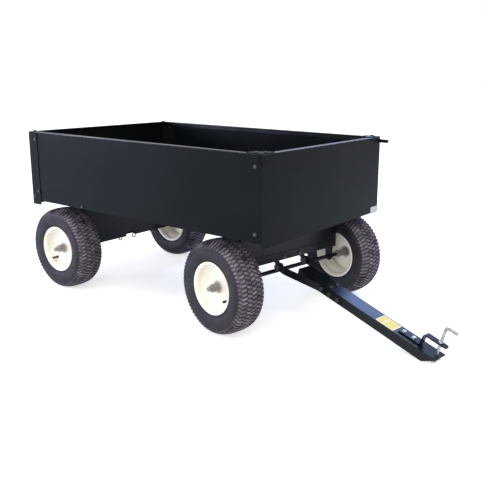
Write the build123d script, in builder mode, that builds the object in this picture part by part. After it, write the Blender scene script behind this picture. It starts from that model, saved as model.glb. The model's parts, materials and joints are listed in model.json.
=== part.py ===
from build123d import *

import os
from math import asin, atan2, cos, degrees, hypot, radians, sin

os.makedirs("parts", exist_ok=True)

# Four-wheel garden cart. Millimetres. +X points forward to the hitch, +Y to the cart's left, +Z up.
# The origin lies on the ground, under the middle of the overall length.
# The front axle stands turned to the right and the tongue lies with its end on the ground.

# ---------------------------------------------------------------- driving dimensions
# Bed
bed_length = 1460.0
bed_width = 930.0
bed_top = 784.0
floor_top = 443.0
skirt_bottom = 419.0
sheet = 2.0
angle_leg = 25.0
angle_thickness = 3.0
panel_flange = 43.0
gate_gap = 0.3
gate_lift_room = 0.5
post_width = 65.0
post_corner = 10.0
front_bolt_back = 33.0
front_bolt_drop = 48.0
front_bolt_rise = 31.0
post_bolt_ahead = 54.0
post_bolt_drop = 36.0
post_bolt_rise = 44.0
corner_bolt_ahead = 18.0
corner_bolt_rise = 16.0
floor_bolt_ahead = 230.0
floor_bolt_rise = 7.0
gate_bolt_back = 14.0
gate_bolt_inset = 25.0
peg_radius = 8.0
peg_reach = 36.0
peg_drop = 21.0
peg_plate = 34.0
peg_root = 20.0
peg_sink = 0.5
gusset_leg = 78.0
gusset_inset = 14.0
gusset_margin = 1.0
rail_spacing = 300.0
rail_width = 40.0
rail_wall = 3.0

# Axles and wheels
tyre_radius = 203.0
tyre_width = 146.0
tyre_wall = 9.0
rim_seat_radius = 103.0
rim_flange_radius = 115.0
rim_half_width = 60.0
rim_sheet = 2.5
half_track = 393.0
wheelbase = 1097.0
kingpin_setback = 205.0
rod_radius = 9.525
rod_end_margin = 13.0
rim_lip = 4.0
rim_lip_swell = 2.5
rim_foot = 5.0
bead_inset = 10.0
well_depth = 12.0
disc_depth = 34.0
disc_hub_depth = 40.0
disc_step = 8.0
disc_edge = 10.0
disc_root = 22.0
disc_rise = 6.0
shoulder_width = 25.0
shoulder_drop = 22.0
shoulder_arc = 0.62
shoulder_inset = 3.0
valve_spot = 79.0
valve_radius = 4.5
valve_lift = 2.0
valve_foot = 4.0
valve_margin = 4.0
hub_radius = 17.0
hub_outer = 57.0
hub_inner = 46.0
bush_radius = 13.0
bush_length = 26.0
bush_flange = 2.5
running_gap = 0.08
washer_radius = 16.0
washer_thickness = 2.5
cotter_radius = 2.2
cotter_eye = 2.2
cotter_overhang = 3.0
steer_angle = -9.0

# Under the bed
plate = 4.0
support_half_width = 300.0
rear_support_depth = 60.0
rear_support_bottom = 190.0
flare_radius = 38.0
notch_width = 60.0
notch_top = 214.0
front_support_half_width = 310.0
front_support_depth = 50.0
beam_top = 293.0
beam_bottom = 255.0
beam_bolt_offset = 50.0
beam_bolt_drop = 6.0
turntable_radius = 140.0
turntable_plate = 6.0
turntable_gap = 0.3
turntable_length = 300.0
turntable_width = 360.0
kingpin_radius = 10.0
kingpin_head = 12.0
kingpin_nut = 16.0
hex_share = 1.5
hanger_thickness = 8.0
hanger_offset = 285.0
hanger_radius = 20.0
loop_radius = 11.0
loop_wire = 3.0
loop_spacing = 96.0

# Tongue, measured along it from its hinge
hinge_height = 230.3
hinge_ahead = 28.0
hinge_bolt_radius = 8.0
lug_offset = 80.0
strap_thickness = 6.0
strap_play = 1.0
strap_depth = 34.0
strap_straight = 45.0
strap_meets = 212.0
strap_end = 335.0
channel_width = 76.0
channel_height = 41.0
channel_wall = 4.0
channel_corner = 6.0
channel_start = 76.0
channel_end = 818.0
chamfer_start = 764.0
yoke_bolt_spots = (225.0, 273.0, 320.0)
top_bolt_spot = 257.0
top_bolt_spacing = 42.0
hitch_width = 30.0
hitch_thickness = 6.0
hitch_start = 622.0
hitch_rise = 724.0
hitch_gap = 50.0
hitch_end = 832.0
hitch_bolt_spots = (641.0, 688.0)
pin_spot = 799.0
pin_radius = 6.35
pin_below = 9.0
pin_above = 126.0
pin_bend = 12.0
collar_share = 1.7
handle_length = 52.0
clip_wire = 1.6
clip_level = 0.0
clip_bend = 3.5
clip_straight = 18.0
clip_grip = 16.0
clip_end = 24.0
clip_loop = 27.0
clip_flare = 4.0

# Fasteners: thread radius of the small bolts, of the tongue's bolts, and clearances
bolt_radius = 4.0
tongue_bolt_radius = 5.0
hole_gap = 0.3
nut_gap = 0.1
round_share = 0.96
# Bolt proportions, as shares of the thread radius
flats_share = 1.7
head_share = 1.3
nut_share = 1.6
end_share = 0.6

# ---------------------------------------------------------------- worked out from the dimensions
axle_height = tyre_radius
half_width = bed_width / 2
rail_top = bed_top
wall_top = bed_top - angle_thickness
side_bottom = floor_top - 2 * sheet
side_inner = half_width - sheet

hinge_to_corner = hypot(chamfer_start, channel_height / 2)
corner_angle = atan2(channel_height / 2, chamfer_start)
tongue_slope = asin(hinge_height / hinge_to_corner) - corner_angle
tongue_top = channel_height / 2
handle_height = tongue_top + pin_above
handle_spot = pin_spot + handle_length
handle_reach = hinge_ahead + handle_spot * cos(tongue_slope) + handle_height * sin(tongue_slope)
reach = handle_reach * cos(radians(steer_angle)) - kingpin_setback
wheel_overhang = kingpin_setback + wheelbase + tyre_radius
bed_front = (max(bed_length, wheel_overhang) - reach) / 2
bed_rear = bed_front - bed_length
beam_height = beam_top - beam_bottom
front_axle = bed_front - kingpin_setback
rear_axle = front_axle - wheelbase
gate_front = bed_rear + angle_thickness + gate_gap + sheet + gate_gap
post_outer = half_width + angle_thickness
peg_height = bed_top - peg_drop

heading = radians(steer_angle)
forward = Vector(cos(heading), sin(heading), 0)
uphill = Vector(sin(tongue_slope) * cos(heading), sin(tongue_slope) * sin(heading), cos(tongue_slope))
downhill = Vector(cos(tongue_slope) * cos(heading), cos(tongue_slope) * sin(heading), -sin(tongue_slope))
steer_frame = Plane(origin=(front_axle, 0, 0), x_dir=forward, z_dir=(0, 0, 1))
rear_frame = Plane(origin=(rear_axle, 0, 0), x_dir=(1, 0, 0), z_dir=(0, 0, 1))
hinge_point = Vector(front_axle, 0, hinge_height) + forward * hinge_ahead
tongue_frame = Plane(origin=hinge_point, x_dir=downhill, z_dir=uphill)

print("kingpin x", front_axle, "rear axle x", rear_axle, "bed front", bed_front, "rear", bed_rear)
print("hinge point", hinge_point, "tongue slope", degrees(tongue_slope))
print("forward", forward, "along tongue", downhill, "tongue normal", uphill)


# ---------------------------------------------------------------- helpers
def side_plane(frame, offset=0.0):
    """Plane facing right in a frame: x forward, y up."""
    return Plane(frame * Plane.XZ.offset(-offset))


def front_plane(frame, offset=0.0):
    """Plane facing forward in a frame: x left, y up."""
    return Plane(frame * Plane.YZ.offset(offset))


def flat_plane(frame, height=0.0):
    """Plane facing up in a frame, at a height."""
    return Plane(frame * Plane.XY.offset(height))


def round_holes(plane, points, radius, depth):
    """Cuts round holes both ways from a plane through the part being made."""
    with BuildSketch(plane) as circles:
        with Locations(*points):
            Circle(radius)
    extrude(circles.sketch, amount=depth, both=True, mode=Mode.SUBTRACT)


def bolts(plane, points, radius, grip):
    """Hex bolts whose heads stand on a plane, each with a nut under its grip."""
    nut_height = radius * nut_share
    shank = grip + nut_height + radius * end_share
    with BuildSketch(plane) as heads:
        with Locations(*points):
            RegularPolygon(radius * flats_share, 6, major_radius=False)
    extrude(heads.sketch, amount=radius * head_share)
    with BuildSketch(plane) as shanks:
        with Locations(*points):
            Circle(radius)
    extrude(shanks.sketch, amount=-shank)
    with BuildSketch(plane.offset(-grip)) as nuts:
        with Locations(*points):
            RegularPolygon(radius * flats_share, 6, major_radius=False)
            Circle(radius + nut_gap, mode=Mode.SUBTRACT)
    extrude(nuts.sketch, amount=-nut_height)


def corner_pair(x, y):
    """The same place on the right and on the left."""
    return [(x, -y), (x, y)]


# ---------------------------------------------------------------- bed: floor and walls
floor_front = bed_front - sheet
with BuildPart() as floor_pan:
    with BuildSketch(Plane.XY.offset(floor_top - sheet)):
        with Locations(((floor_front + gate_front) / 2, 0)):
            Rectangle(floor_front - gate_front, 2 * (side_inner - gate_gap))
    extrude(amount=sheet)
    with BuildSketch(Plane.XY.offset(skirt_bottom)):
        with Locations((floor_front - sheet / 2, 0), (gate_front + sheet / 2, 0)):
            Rectangle(sheet, 2 * (side_inner - angle_leg))
    extrude(amount=floor_top - sheet - skirt_bottom)
floor_pan.part.label = "floor_pan"
export_step(floor_pan.part, "parts/floor_pan.step")

# Bolt places on a side panel
front_bolt_x = bed_front - front_bolt_back
front_bolts = [(front_bolt_x, bed_top - front_bolt_drop), (front_bolt_x, floor_top + front_bolt_rise)]
post_bolt_x = bed_rear + post_bolt_ahead
post_bolts = [
    (post_bolt_x, bed_top - post_bolt_drop),
    (post_bolt_x, floor_top + post_bolt_rise),
    (bed_rear + corner_bolt_ahead, floor_top + corner_bolt_rise),
]
floor_bolts = [(rear_axle + floor_bolt_ahead, floor_top + floor_bolt_rise)]
panel_bolt_spots = front_bolts + post_bolts + floor_bolts

for side_name, side in (("right", -1), ("left", 1)):
    with BuildPart() as side_panel:
        with BuildSketch(Plane.YZ.offset(bed_rear + angle_thickness)):
            with Locations((side * (half_width - sheet / 2), (wall_top + side_bottom) / 2)):
                Rectangle(sheet, wall_top - side_bottom)
        extrude(amount=bed_length - angle_thickness - sheet)
        with BuildSketch(Plane.YZ.offset(gate_front)):
            with Locations((side * (half_width - angle_leg / 2), side_bottom + sheet / 2)):
                Rectangle(angle_leg, sheet)
        extrude(amount=floor_front - gate_front)
        side_face = Plane.XZ.offset(-side * half_width)
        round_holes(side_face, panel_bolt_spots, bolt_radius + hole_gap, angle_thickness)
    side_panel.part.label = f"side_panel_{side_name}"
    export_step(side_panel.part, f"parts/side_panel_{side_name}.step")

flange_top = wall_top - angle_leg + angle_thickness - hole_gap
with BuildPart() as front_panel:
    with BuildSketch(Plane.XY.offset(skirt_bottom)):
        with Locations((bed_front - sheet / 2, 0)):
            Rectangle(sheet, bed_width)
    extrude(amount=wall_top - skirt_bottom)
    with BuildSketch(Plane.XY.offset(floor_top)):
        with Locations(*corner_pair(bed_front - sheet - panel_flange / 2, side_inner - sheet / 2)):
            Rectangle(panel_flange, sheet)
    extrude(amount=flange_top - floor_top)
    round_holes(Plane.XZ, front_bolts, bolt_radius + hole_gap, half_width)
front_panel.part.label = "front_panel"
export_step(front_panel.part, "parts/front_panel.step")

# ---------------------------------------------------------------- bed: top angles, gussets, posts
rail_start = bed_rear + angle_leg + gate_lift_room
rail_end = bed_front - angle_leg
leg_height = angle_leg - angle_thickness
with BuildPart() as side_rails:
    with BuildSketch(Plane.YZ.offset(rail_start)):
        for side in (-1, 1):
            with Locations((side * (half_width - angle_leg / 2), rail_top - angle_thickness / 2)):
                Rectangle(angle_leg, angle_thickness)
            with Locations((side * (side_inner - angle_thickness / 2), wall_top - leg_height / 2)):
                Rectangle(angle_thickness, leg_height)
    extrude(amount=rail_end - rail_start)
    top_edges = side_rails.edges().filter_by(Axis.X).group_by(Axis.Z)[-1]
    fillet(top_edges.sort_by(Axis.Y)[0], sheet)
    fillet(side_rails.edges().filter_by(Axis.X).group_by(Axis.Z)[-1].sort_by(Axis.Y)[-1], sheet)
    gusset_side_spots = corner_pair(bed_front - gusset_leg / 2, half_width - gusset_inset)
    round_holes(Plane.XY.offset(rail_top), gusset_side_spots, bolt_radius + hole_gap, angle_thickness)
side_rails.part.label = "side_rails"
export_step(side_rails.part, "parts/side_rails.step")

gusset_front_spots = corner_pair(bed_front - gusset_inset, half_width - gusset_leg / 2)
with BuildPart() as front_rail:
    with BuildSketch(Plane.XZ):
        with Locations((bed_front - angle_leg / 2, rail_top - angle_thickness / 2)):
            Rectangle(angle_leg, angle_thickness)
    extrude(amount=half_width, both=True)
    with BuildSketch(Plane.XZ):
        with Locations((bed_front - sheet - angle_thickness / 2, wall_top - leg_height / 2)):
            Rectangle(angle_thickness, leg_height)
    extrude(amount=side_inner - angle_thickness - hole_gap, both=True)
    fillet(front_rail.edges().filter_by(Axis.Y).group_by(Axis.Z)[-1].sort_by(Axis.X)[-1], sheet)
    round_holes(Plane.XY.offset(rail_top), gusset_front_spots, bolt_radius + hole_gap, angle_thickness)
front_rail.part.label = "front_rail"
export_step(front_rail.part, "parts/front_rail.step")

with BuildPart() as corner_gussets:
    with BuildSketch(Plane.XY.offset(rail_top)):
        for side in (-1, 1):
            corner = (bed_front - gusset_margin, side * (half_width - gusset_margin))
            with BuildLine():
                Polyline(
                    corner,
                    (corner[0] - gusset_leg, corner[1]),
                    (corner[0] - gusset_leg, corner[1] - side * angle_leg),
                    (corner[0] - angle_leg, corner[1] - side * gusset_leg),
                    (corner[0], corner[1] - side * gusset_leg),
                    close=True,
                )
            make_face()
    extrude(amount=angle_thickness)
    gusset_spots = gusset_side_spots + gusset_front_spots
    round_holes(Plane.XY.offset(rail_top), gusset_spots, bolt_radius + hole_gap, 2 * angle_thickness)
corner_gussets.part.label = "corner_gussets"
export_step(corner_gussets.part, "parts/corner_gussets.step")

with BuildPart() as tie_down_pegs:
    for side in (-1, 1):
        with BuildSketch(Plane.XZ.offset(-side * half_width)) as peg_plates:
            with Locations((bed_front - peg_plate / 2 - sheet, peg_height)):
                Rectangle(peg_plate, peg_plate)
        extrude(peg_plates.sketch, amount=-side * angle_thickness)
        peg_place = (side * (post_outer + peg_radius - peg_sink), peg_height)
        with BuildSketch(Plane.YZ.offset(bed_front - peg_root)) as peg_roots:
            with Locations(peg_place):
                Rectangle(2 * peg_radius, 2 * peg_radius)
        extrude(peg_roots.sketch, amount=peg_root)
        with BuildSketch(Plane.YZ.offset(bed_front)) as peg_ends:
            with Locations(peg_place):
                Circle(peg_radius)
        extrude(peg_ends.sketch, amount=peg_reach)
tie_down_pegs.part.label = "tie_down_pegs"
export_step(tie_down_pegs.part, "parts/tie_down_pegs.step")

post_flange = angle_leg + 2 * angle_thickness
with BuildPart() as rear_posts:
    with BuildSketch(Plane.XY.offset(skirt_bottom)):
        with Locations(*corner_pair(bed_rear + post_width / 2, half_width + angle_thickness / 2)):
            Rectangle(post_width, angle_thickness)
        with Locations(*corner_pair(bed_rear + angle_thickness / 2, post_outer - post_flange / 2)):
            Rectangle(angle_thickness, post_flange)
    extrude(amount=wall_top - skirt_bottom)
    post_low_edges = rear_posts.edges().filter_by(Axis.Y).group_by(Axis.Z)[0]
    fillet(post_low_edges.filter_by(lambda edge: edge.center().X > bed_rear + post_width / 2), post_corner)
    round_holes(Plane.XZ, post_bolts, bolt_radius + hole_gap, bed_width)
rear_posts.part.label = "rear_posts"
export_step(rear_posts.part, "parts/rear_posts.step")

with BuildPart() as gate_guides:
    with BuildSketch(Plane.XY.offset(floor_top)):
        with Locations(*corner_pair(gate_front + post_width / 2, side_inner - angle_thickness / 2)):
            Rectangle(post_width, angle_thickness)
        with Locations(*corner_pair(gate_front + angle_thickness / 2, side_inner - angle_leg / 2)):
            Rectangle(angle_thickness, angle_leg)
    extrude(amount=flange_top - floor_top)
    round_holes(Plane.XZ, post_bolts, bolt_radius + hole_gap, bed_width)
gate_guides.part.label = "gate_guides"
export_step(gate_guides.part, "parts/gate_guides.step")

# ---------------------------------------------------------------- tailgate
gate_sheet_middle = bed_rear + angle_thickness + gate_gap + sheet / 2
with BuildPart() as tailgate:
    with BuildSketch(Plane.XY.offset(skirt_bottom)):
        with Locations((gate_sheet_middle, 0)):
            Rectangle(sheet, 2 * (side_inner - gate_gap))
    extrude(amount=wall_top - skirt_bottom)
    with BuildSketch(Plane.XY.offset(wall_top)):
        with Locations((bed_rear + angle_leg / 2, 0)):
            Rectangle(angle_leg, bed_width)
    extrude(amount=angle_thickness)
    fillet(tailgate.edges().filter_by(Axis.Y).group_by(Axis.Z)[-1].sort_by(Axis.X)[0], sheet)
    gate_bolt_spots = corner_pair(bed_rear + gate_bolt_back, half_width - gate_bolt_inset)
    round_holes(Plane.XY.offset(rail_top), gate_bolt_spots, bolt_radius + hole_gap, angle_thickness)
tailgate.part.label = "tailgate"
export_step(tailgate.part, "parts/tailgate.step")

with BuildPart() as gate_bolts:
    bolts(Plane.XY.offset(rail_top), gate_bolt_spots, bolt_radius, angle_thickness)
gate_bolts.part.label = "gate_bolts"
export_step(gate_bolts.part, "parts/gate_bolts.step")

# ---------------------------------------------------------------- bed: bolts
with BuildPart() as panel_bolts:
    for side in (-1, 1):
        wall_face = Plane.XZ.offset(-side * half_width)
        post_face = Plane.XZ.offset(-side * post_outer)
        outward = Plane(wall_face.origin, x_dir=(side * -1, 0, 0), z_dir=(0, side, 0))
        post_outward = Plane(post_face.origin, x_dir=(side * -1, 0, 0), z_dir=(0, side, 0))
        front_spots = [(-side * x, z) for x, z in front_bolts]
        floor_spots = [(-side * x, z) for x, z in floor_bolts]
        post_spots = [(-side * x, z) for x, z in post_bolts]
        bolts(outward, front_spots, bolt_radius, 2 * sheet)
        bolts(outward, floor_spots, bolt_radius, sheet)
        bolts(post_outward, post_spots, bolt_radius, sheet + 2 * angle_thickness)
    gusset_top = Plane.XY.offset(rail_top + angle_thickness)
    bolts(gusset_top, gusset_spots, bolt_radius, 2 * angle_thickness)
panel_bolts.part.label = "panel_bolts"
export_step(panel_bolts.part, "parts/panel_bolts.step")

# ---------------------------------------------------------------- under the bed: frame rails
rail_back = gate_front + sheet
rail_front = floor_front - sheet
rail_height = floor_top - sheet - skirt_bottom
with BuildPart() as frame_rails:
    with BuildSketch(Plane.YZ.offset(rail_back)):
        with Locations(*[(y, skirt_bottom + rail_height / 2) for y in (-rail_spacing / 2, rail_spacing / 2)]):
            Rectangle(rail_width, rail_height)
        for y in (-rail_spacing / 2, rail_spacing / 2):
            with Locations((y, skirt_bottom + rail_height / 2)):
                Rectangle(rail_width - 2 * rail_wall, rail_height - 2 * rail_wall, mode=Mode.SUBTRACT)
    extrude(amount=rail_front - rail_back)
frame_rails.part.label = "frame_rails"
export_step(frame_rails.part, "parts/frame_rails.step")

# ---------------------------------------------------------------- rear axle
web_foot = skirt_bottom - flare_radius
flare_centre = support_half_width + flare_radius
with BuildPart() as rear_axle_support:
    for offset in (-rear_support_depth / 2, rear_support_depth / 2 - plate):
        with BuildSketch(front_plane(rear_frame, offset)) as web:
            with BuildLine():
                Line((flare_centre, skirt_bottom), (-flare_centre, skirt_bottom))
                CenterArc((-flare_centre, web_foot), flare_radius, 0, 90)
                Polyline(
                    (-support_half_width, web_foot),
                    (-support_half_width, rear_support_bottom),
                    (-notch_width / 2, rear_support_bottom),
                    (-notch_width / 2, notch_top),
                    (notch_width / 2, notch_top),
                    (notch_width / 2, rear_support_bottom),
                    (support_half_width, rear_support_bottom),
                    (support_half_width, web_foot),
                )
                CenterArc((flare_centre, web_foot), flare_radius, 90, 90)
            make_face()
        extrude(web.sketch, amount=plate)
    with BuildSketch(flat_plane(rear_frame, skirt_bottom - plate)):
        Rectangle(rear_support_depth, 2 * (support_half_width + flare_radius / 3))
    extrude(amount=plate)
    with BuildSketch(side_plane(rear_frame)) as end_plate:
        with Locations((0, (skirt_bottom + rear_support_bottom) / 2 - plate)):
            Rectangle(rear_support_depth - 2 * plate, skirt_bottom - rear_support_bottom - 2 * plate)
    for offset in (-support_half_width + plate, support_half_width):
        extrude(end_plate.sketch.moved(Location((0, offset, 0))), amount=plate)
    round_holes(side_plane(rear_frame), [(0, axle_height)], rod_radius + running_gap, 2 * support_half_width)
rear_axle_support.part.label = "rear_axle_support"
export_step(rear_axle_support.part, "parts/rear_axle_support.step")

washer_inner = half_track + hub_outer + bush_flange + hole_gap
cotter_offset = washer_inner + washer_thickness + cotter_radius + hole_gap
rod_half = cotter_offset + rod_end_margin
stop_inner = half_track - hub_inner - bush_flange - hole_gap


def axle_rod(frame):
    """Solid axle with a cross hole near each end."""
    with BuildSketch(side_plane(frame)) as section:
        with Locations((0, axle_height)):
            Circle(rod_radius)
    extrude(section.sketch, amount=rod_half, both=True)
    cotter_plane = flat_plane(frame, axle_height)
    round_holes(cotter_plane, corner_pair(0, cotter_offset), cotter_radius + nut_gap, 2 * rod_radius)


def axle_washers(frame):
    """One washer outside each hub and one inside it."""
    for inner in (washer_inner, stop_inner - washer_thickness):
        for side in (-1, 1):
            start = side * inner
            with BuildSketch(side_plane(frame, start)) as ring:
                with Locations((0, axle_height)):
                    Circle(washer_radius)
                    Circle(rod_radius + running_gap, mode=Mode.SUBTRACT)
            extrude(ring.sketch, amount=-side * washer_thickness)


def cotter_pins(frame):
    """A split pin through each end of the axle, with its round eye on top."""
    eye = cotter_eye * cotter_radius
    overhang = rod_radius + cotter_overhang * cotter_radius
    for side in (-1, 1):
        spot = flat_plane(frame, axle_height)
        across = side_plane(frame, side * cotter_offset)
        with BuildSketch(spot) as leg:
            with Locations((0, side * cotter_offset)):
                Circle(cotter_radius)
        extrude(leg.sketch, amount=overhang, both=True)
        with BuildSketch(across) as eye_ring:
            with Locations((0, axle_height + overhang + eye)):
                Circle(eye + cotter_radius)
                Circle(eye - cotter_radius / 2, mode=Mode.SUBTRACT)
        extrude(eye_ring.sketch, amount=cotter_radius / 2, both=True)


with BuildPart() as rear_axle_rod:
    axle_rod(rear_frame)
rear_axle_rod.part.label = "rear_axle_rod"
export_step(rear_axle_rod.part, "parts/rear_axle_rod.step")

with BuildPart() as rear_washers:
    axle_washers(rear_frame)
rear_washers.part.label = "rear_washers"
export_step(rear_washers.part, "parts/rear_washers.step")

with BuildPart() as rear_cotter_pins:
    cotter_pins(rear_frame)
rear_cotter_pins.part.label = "rear_cotter_pins"
export_step(rear_cotter_pins.part, "parts/rear_cotter_pins.step")

with BuildPart() as axle_loops:
    for side in (-1, 1):
        loop_height = axle_height - rod_radius - loop_radius - loop_wire
        loop_centre = Vector(rear_axle, side * loop_spacing / 2, loop_height)
        loop_plane = Plane(loop_centre, x_dir=(0, 1, 0), z_dir=(1, 0, 0))
        with Locations(loop_plane.location):
            Torus(loop_radius, loop_wire)
axle_loops.part.label = "axle_loops"
export_step(axle_loops.part, "parts/axle_loops.step")

# ---------------------------------------------------------------- turntable and kingpin
upper_plate_bottom = skirt_bottom - turntable_plate
lower_plate_top = upper_plate_bottom - turntable_gap
support_top = lower_plate_top - turntable_plate
with BuildPart() as turntable_upper:
    with BuildSketch(Plane.XY.offset(upper_plate_bottom)):
        with Locations((front_axle, 0)):
            RectangleRounded(turntable_length, turntable_width, angle_leg)
            Circle(kingpin_radius + running_gap, mode=Mode.SUBTRACT)
    extrude(amount=turntable_plate)
turntable_upper.part.label = "turntable_upper"
export_step(turntable_upper.part, "parts/turntable_upper.step")

kingpin_nut_top = support_top - plate - gate_gap
with BuildPart() as kingpin:
    with BuildSketch(Plane.XY.offset(skirt_bottom)):
        with Locations((front_axle, 0)):
            RegularPolygon(hex_share * kingpin_radius, 6, major_radius=False)
    extrude(amount=kingpin_head)
    with BuildSketch(Plane.XY.offset(skirt_bottom)):
        with Locations((front_axle, 0)):
            Circle(kingpin_radius)
    extrude(amount=-(skirt_bottom - kingpin_nut_top + kingpin_nut + kingpin_radius / 2))
kingpin.part.label = "kingpin"
export_step(kingpin.part, "parts/kingpin.step")

with BuildPart() as kingpin_nut_piece:
    with BuildSketch(Plane.XY.offset(kingpin_nut_top)):
        with Locations((front_axle, 0)):
            RegularPolygon(hex_share * kingpin_radius, 6, major_radius=False)
            Circle(kingpin_radius + nut_gap, mode=Mode.SUBTRACT)
    extrude(amount=-kingpin_nut)
kingpin_nut_piece.part.label = "kingpin_nut"
export_step(kingpin_nut_piece.part, "parts/kingpin_nut.step")

with BuildPart() as turntable_lower:
    with BuildSketch(flat_plane(steer_frame, support_top)):
        Circle(turntable_radius)
        Circle(kingpin_radius + running_gap, mode=Mode.SUBTRACT)
    extrude(amount=turntable_plate)
turntable_lower.part.label = "turntable_lower"
export_step(turntable_lower.part, "parts/turntable_lower.step")

# ---------------------------------------------------------------- front axle
with BuildPart() as front_support:
    with BuildSketch(side_plane(steer_frame)) as support_section:
        with Locations((0, (support_top + beam_top) / 2)):
            Rectangle(front_support_depth, support_top - beam_top)
        with Locations((0, (support_top - plate + beam_top) / 2)):
            Rectangle(front_support_depth - 2 * plate, support_top - plate - beam_top, mode=Mode.SUBTRACT)
    extrude(amount=front_support_half_width, both=True)
    round_holes(flat_plane(steer_frame, support_top), [(0, 0)], kingpin_radius + running_gap, 2 * plate)
front_support.part.label = "front_support"
export_step(front_support.part, "parts/front_support.step")

beam_bolt_height = (beam_top + beam_bottom) / 2 - beam_bolt_drop
beam_bolt_spots = [(-beam_bolt_offset, beam_bolt_height), (beam_bolt_offset, beam_bolt_height)]
with BuildPart() as front_beam:
    with BuildSketch(side_plane(steer_frame)) as beam_section:
        with Locations((0, beam_bottom + beam_height / 2)):
            RectangleRounded(front_support_depth, beam_height, rail_wall)
            Rectangle(front_support_depth - 2 * rail_wall, beam_height - 2 * rail_wall, mode=Mode.SUBTRACT)
    extrude(amount=front_support_half_width, both=True)
    round_holes(front_plane(steer_frame), beam_bolt_spots, tongue_bolt_radius + hole_gap, front_support_depth)
front_beam.part.label = "front_beam"
export_step(front_beam.part, "parts/front_beam.step")

with BuildPart() as beam_bolts:
    beam_face = front_plane(steer_frame, front_support_depth / 2)
    bolts(beam_face, beam_bolt_spots, tongue_bolt_radius, front_support_depth)
beam_bolts.part.label = "beam_bolts"
export_step(beam_bolts.part, "parts/beam_bolts.step")

with BuildPart() as axle_hangers:
    with BuildSketch(side_plane(steer_frame)) as hanger:
        with Locations((0, axle_height)):
            Circle(hanger_radius)
        with Locations((0, (beam_bottom + axle_height) / 2)):
            Rectangle(2 * hanger_radius, beam_bottom - axle_height)
        with Locations((0, axle_height)):
            Circle(rod_radius + running_gap, mode=Mode.SUBTRACT)
    for start in (-hanger_offset, hanger_offset + hanger_thickness):
        placed = hanger.sketch.moved(Location(steer_frame.y_dir * start))
        extrude(placed, amount=hanger_thickness)
axle_hangers.part.label = "axle_hangers"
export_step(axle_hangers.part, "parts/axle_hangers.step")

with BuildPart() as front_axle_rod:
    axle_rod(steer_frame)
front_axle_rod.part.label = "front_axle_rod"
export_step(front_axle_rod.part, "parts/front_axle_rod.step")

with BuildPart() as front_washers:
    axle_washers(steer_frame)
front_washers.part.label = "front_washers"
export_step(front_washers.part, "parts/front_washers.step")

with BuildPart() as front_cotter_pins:
    cotter_pins(steer_frame)
front_cotter_pins.part.label = "front_cotter_pins"
export_step(front_cotter_pins.part, "parts/front_cotter_pins.step")

lug_radius = strap_depth / 2
lug_end = lug_offset + strap_thickness
with BuildPart() as tongue_lugs:
    with BuildSketch(side_plane(steer_frame)) as lug:
        with BuildLine():
            Polyline(
                (-front_support_depth / 4, beam_bottom),
                (front_support_depth / 2, beam_bottom),
                (hinge_ahead + lug_radius, hinge_height),
                (hinge_ahead - lug_radius, hinge_height),
                close=True,
            )
        make_face()
        with Locations((hinge_ahead, hinge_height)):
            Circle(lug_radius)
            Circle(hinge_bolt_radius + nut_gap, mode=Mode.SUBTRACT)
    for start in (-lug_offset, lug_end):
        placed = lug.sketch.moved(Location(steer_frame.y_dir * start))
        extrude(placed, amount=strap_thickness)
tongue_lugs.part.label = "tongue_lugs"
export_step(tongue_lugs.part, "parts/tongue_lugs.step")

strap_inner = lug_end + strap_play
strap_outer = strap_inner + strap_thickness
with BuildPart() as hinge_bolts:
    for side in (-1, 1):
        bolt_face = Plane(
            hinge_point + steer_frame.y_dir * side * (strap_outer + hole_gap),
            x_dir=forward,
            z_dir=steer_frame.y_dir * side,
        )
        grip = strap_outer + hole_gap - lug_offset
        bolts(bolt_face, [(0, 0)], hinge_bolt_radius, grip)
hinge_bolts.part.label = "hinge_bolts"
export_step(hinge_bolts.part, "parts/hinge_bolts.step")

# ---------------------------------------------------------------- tongue
tongue_side = side_plane(tongue_frame)
tongue_plan = flat_plane(tongue_frame)
half_channel = channel_width / 2
strap_centre = half_channel + strap_thickness / 2
yoke_bolt_places = [(spot, 0) for spot in yoke_bolt_spots]
strap_middle = (strap_inner + strap_outer) / 2
with BuildPart() as yoke_straps:
    for side in (-1, 1):
        with BuildSketch(tongue_plan) as strap_path:
            with BuildLine() as bend:
                FilletPolyline(
                    (-lug_radius, side * strap_middle),
                    (strap_straight, side * strap_middle),
                    (strap_meets, side * strap_centre),
                    (strap_end, side * strap_centre),
                    radius=3 * strap_thickness,
                )
            trace(bend.line, line_width=strap_thickness)
        extrude(strap_path.sketch, amount=lug_radius, both=True)
    for end_face in yoke_straps.faces().sort_by(Axis(hinge_point, downhill))[0:2]:
        fillet(end_face.edges().sort_by(SortBy.LENGTH)[0:2], round_share * lug_radius)
    round_holes(tongue_side, [(0, 0)], hinge_bolt_radius + running_gap, half_width)
    round_holes(tongue_side, yoke_bolt_places, tongue_bolt_radius + hole_gap, half_width)
yoke_straps.part.label = "yoke_straps"
export_step(yoke_straps.part, "parts/yoke_straps.step")

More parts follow.
